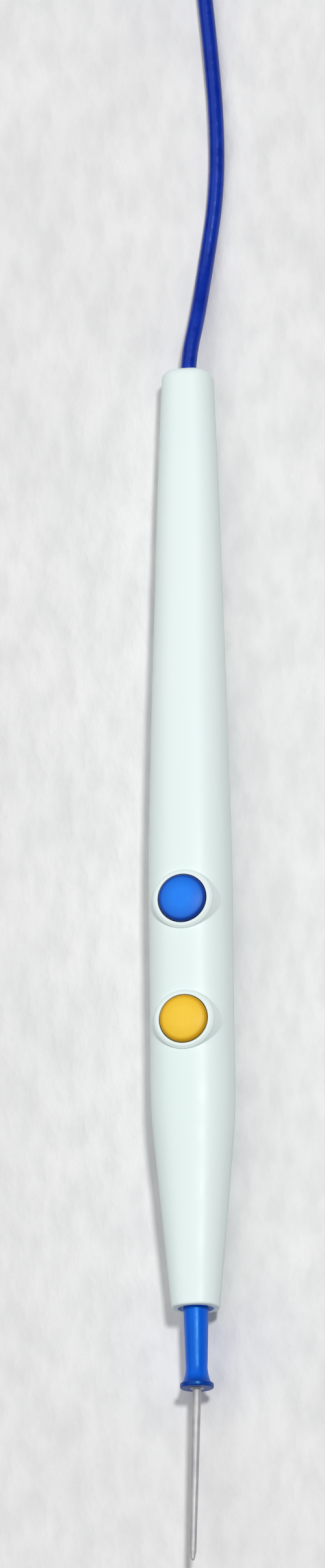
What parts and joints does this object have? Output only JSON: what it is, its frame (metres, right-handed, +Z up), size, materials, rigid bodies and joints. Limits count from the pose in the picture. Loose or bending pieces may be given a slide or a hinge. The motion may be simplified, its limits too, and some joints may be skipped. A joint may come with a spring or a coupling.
{
  "type": "electrosurgical pencil",
  "caption": "Hand-held electrosurgical pencil: slim two-shell handle with cut and coagulate buttons, needle electrode in a sleeve, thin cord and pin plug.",
  "frame": {"origin": "on the surface it lies on, under the middle of the pencil from needle tip to the back of the handle", "axes": "+Y along the pencil from the needle toward the cord, +Z up through the buttons, +X to the right seen from the tip end"},
  "size_m": [0.04, 0.4674, 0.0204],
  "materials": {
    "handle_plastic": "pale mint moulded plastic, satin gloss",
    "yellow_plastic": "yellow moulded plastic",
    "blue_plastic": "bright blue moulded plastic",
    "sleeve_plastic": "blue insulating plastic, smooth",
    "needle_steel": "drawn stainless steel",
    "dome_steel": "sprung stainless steel",
    "socket_brass": "turned brass",
    "strip_brass": "stamped brass",
    "board_laminate": "green glass-fibre laminate",
    "lead_red": "red wire insulation",
    "lead_yellow": "yellow wire insulation",
    "lead_blue": "blue wire insulation",
    "cord_jacket": "deep blue flexible vinyl, glossy",
    "anchor_rubber": "blue flexible vinyl",
    "tie_plastic": "white coated wire tie",
    "pin_brass": "nickel-plated brass"
  },
  "bodies": {
    "handle": {"lower_shell": "handle_plastic", "upper_shell": "handle_plastic", "cut_dome": "dome_steel", "coag_dome": "dome_steel", "switch_board": "board_laminate", "electrode_socket": "socket_brass", "contact_strip": "strip_brass", "active_lead": "lead_red", "cut_lead": "lead_yellow", "coag_lead": "lead_blue", "cord_grommet": "anchor_rubber", "cord": "cord_jacket", "cord_hank": "cord_jacket", "cord_tail": "cord_jacket", "hank_tie": "tie_plastic", "plug_upper_shell": "handle_plastic", "plug_lower_shell": "handle_plastic", "plug_strain_relief": "anchor_rubber", "active_pin": "pin_brass", "cut_pin": "pin_brass", "coag_pin": "pin_brass"},
    "cut_key": {"cut_button": "yellow_plastic"},
    "coag_key": {"coag_button": "blue_plastic"},
    "electrode": {"electrode_sleeve": "sleeve_plastic", "electrode_needle": "needle_steel"}
  },
  "joints": [
    {"name": "cut_press", "type": "slide", "parent": "handle", "child": "cut_key", "axis": [0, 0, -1], "range_m": [0, 0.0005], "stiffness_N_per_m": 600, "deforming": ["cut_dome"]},
    {"name": "coag_press", "type": "slide", "parent": "handle", "child": "coag_key", "axis": [0, 0, -1], "range_m": [0, 0.0005], "stiffness_N_per_m": 600, "deforming": ["coag_dome"]},
    {"name": "electrode_pull", "type": "slide", "parent": "handle", "child": "electrode", "axis": [0, -1, 0], "range_m": [0, 0.036]}
  ]
}
